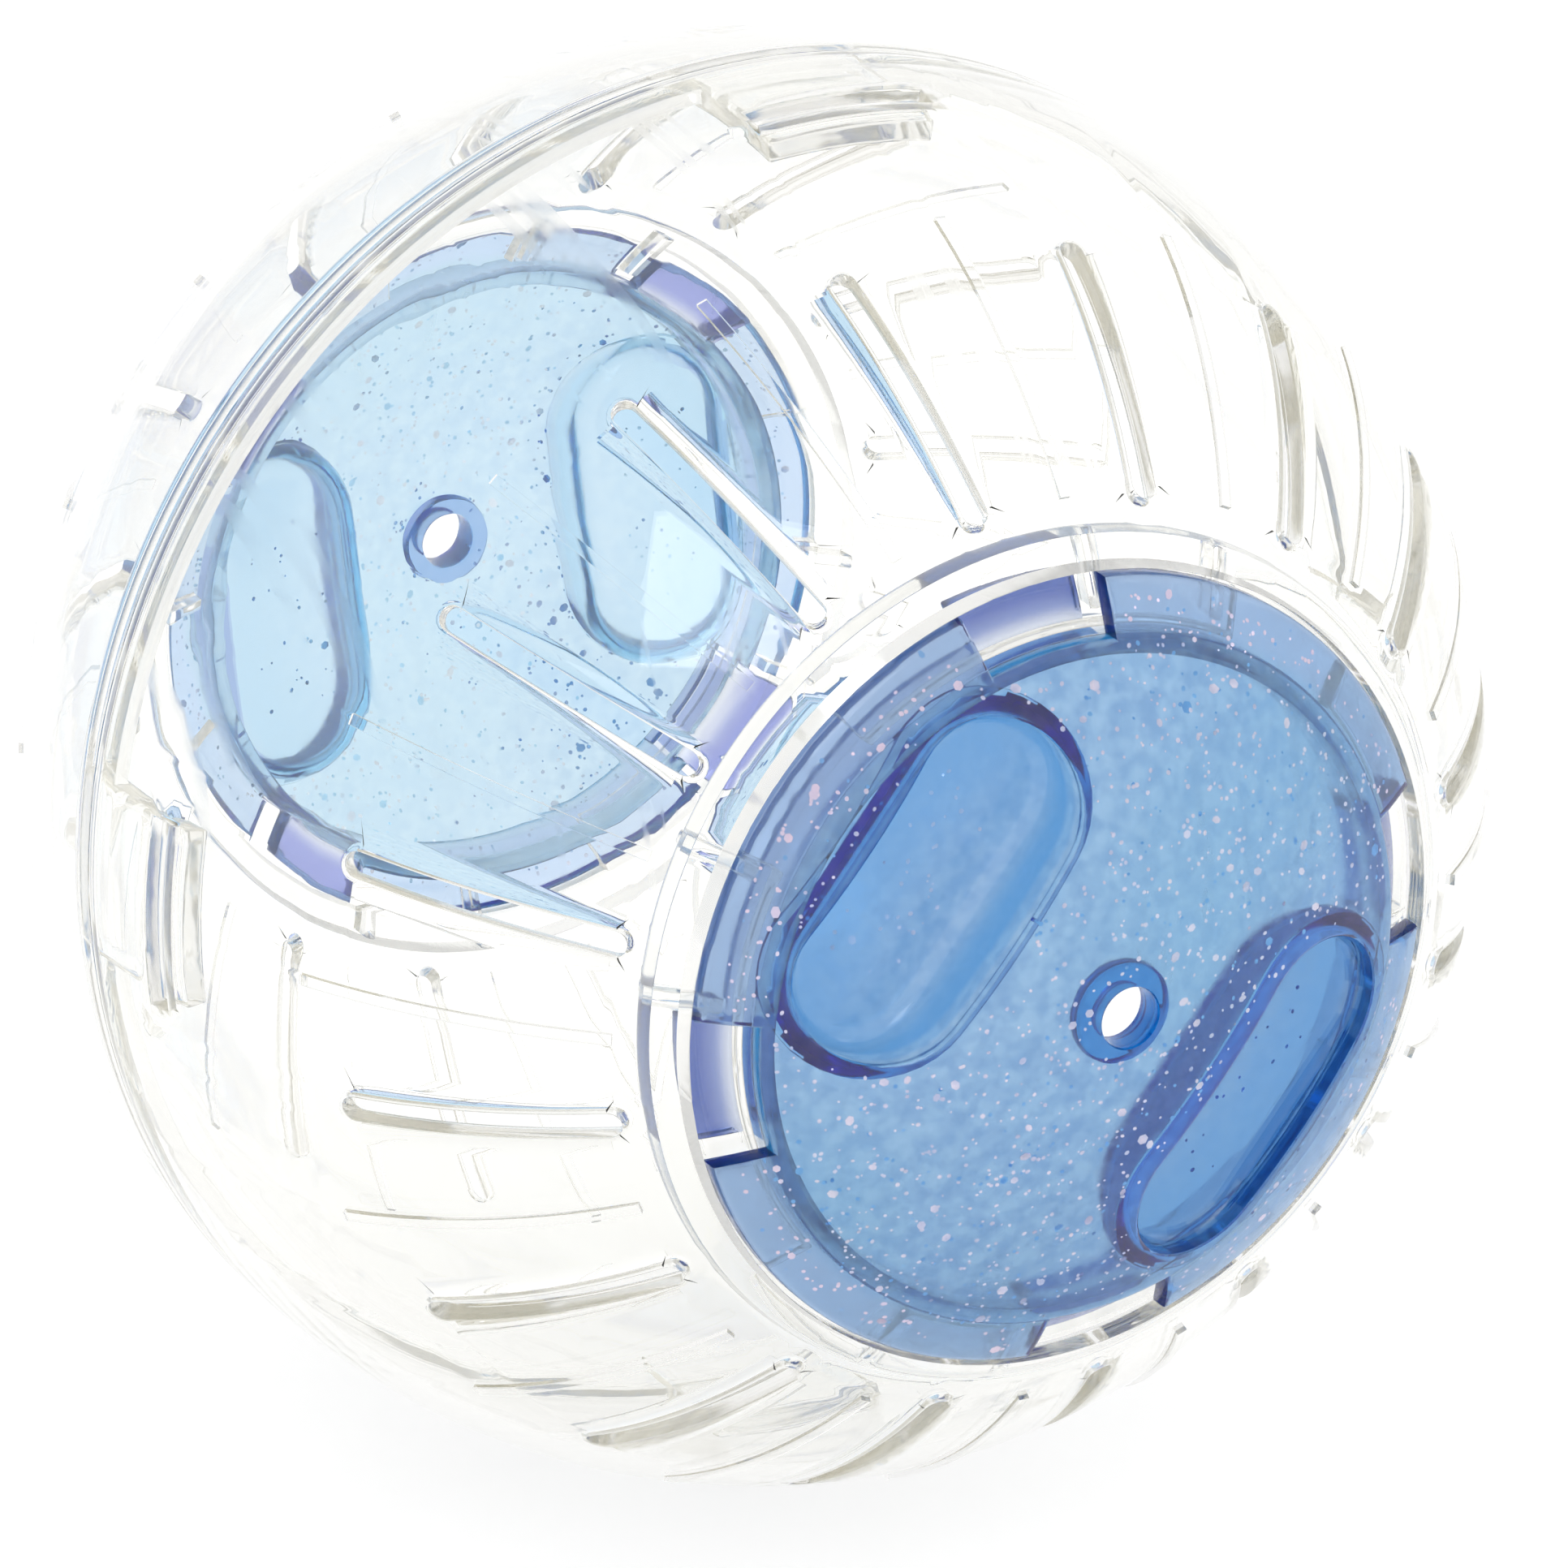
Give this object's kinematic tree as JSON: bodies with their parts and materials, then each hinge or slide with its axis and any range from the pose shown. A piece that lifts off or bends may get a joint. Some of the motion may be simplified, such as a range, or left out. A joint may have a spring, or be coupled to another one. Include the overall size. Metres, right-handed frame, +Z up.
{
  "type": "hamster ball",
  "caption": "Clear ball for a hamster to run in, with vent slots, a snap-together seam and tinted twist lids with finger pockets and axle holes.",
  "frame": {"origin": "centre of the ball", "axes": "-Y through the front lid's centre and +Y through the rear lid's, +Z up, +X to the right seen from the front"},
  "size_m": [0.12, 0.1198, 0.12],
  "materials": {
    "clear_shell": "clear polished moulding",
    "blue_lid": "translucent blue with fine silver glitter, polished"
  },
  "bodies": {
    "shell": {"front_shell": "clear_shell", "rear_shell": "clear_shell"},
    "front_lid": {"front_lid": "blue_lid"},
    "rear_lid": {"rear_lid": "blue_lid"}
  },
  "joints": [
    {"name": "front_lid_turn", "type": "hinge", "parent": "shell", "child": "front_lid", "pos_m": [0, -0.0585, 0], "axis": [0, -1, 0], "range_deg": [0, 45]},
    {"name": "rear_lid_turn", "type": "hinge", "parent": "shell", "child": "rear_lid", "pos_m": [0, 0.0585, 0], "axis": [0, 1, 0], "range_deg": [0, 45]}
  ]
}
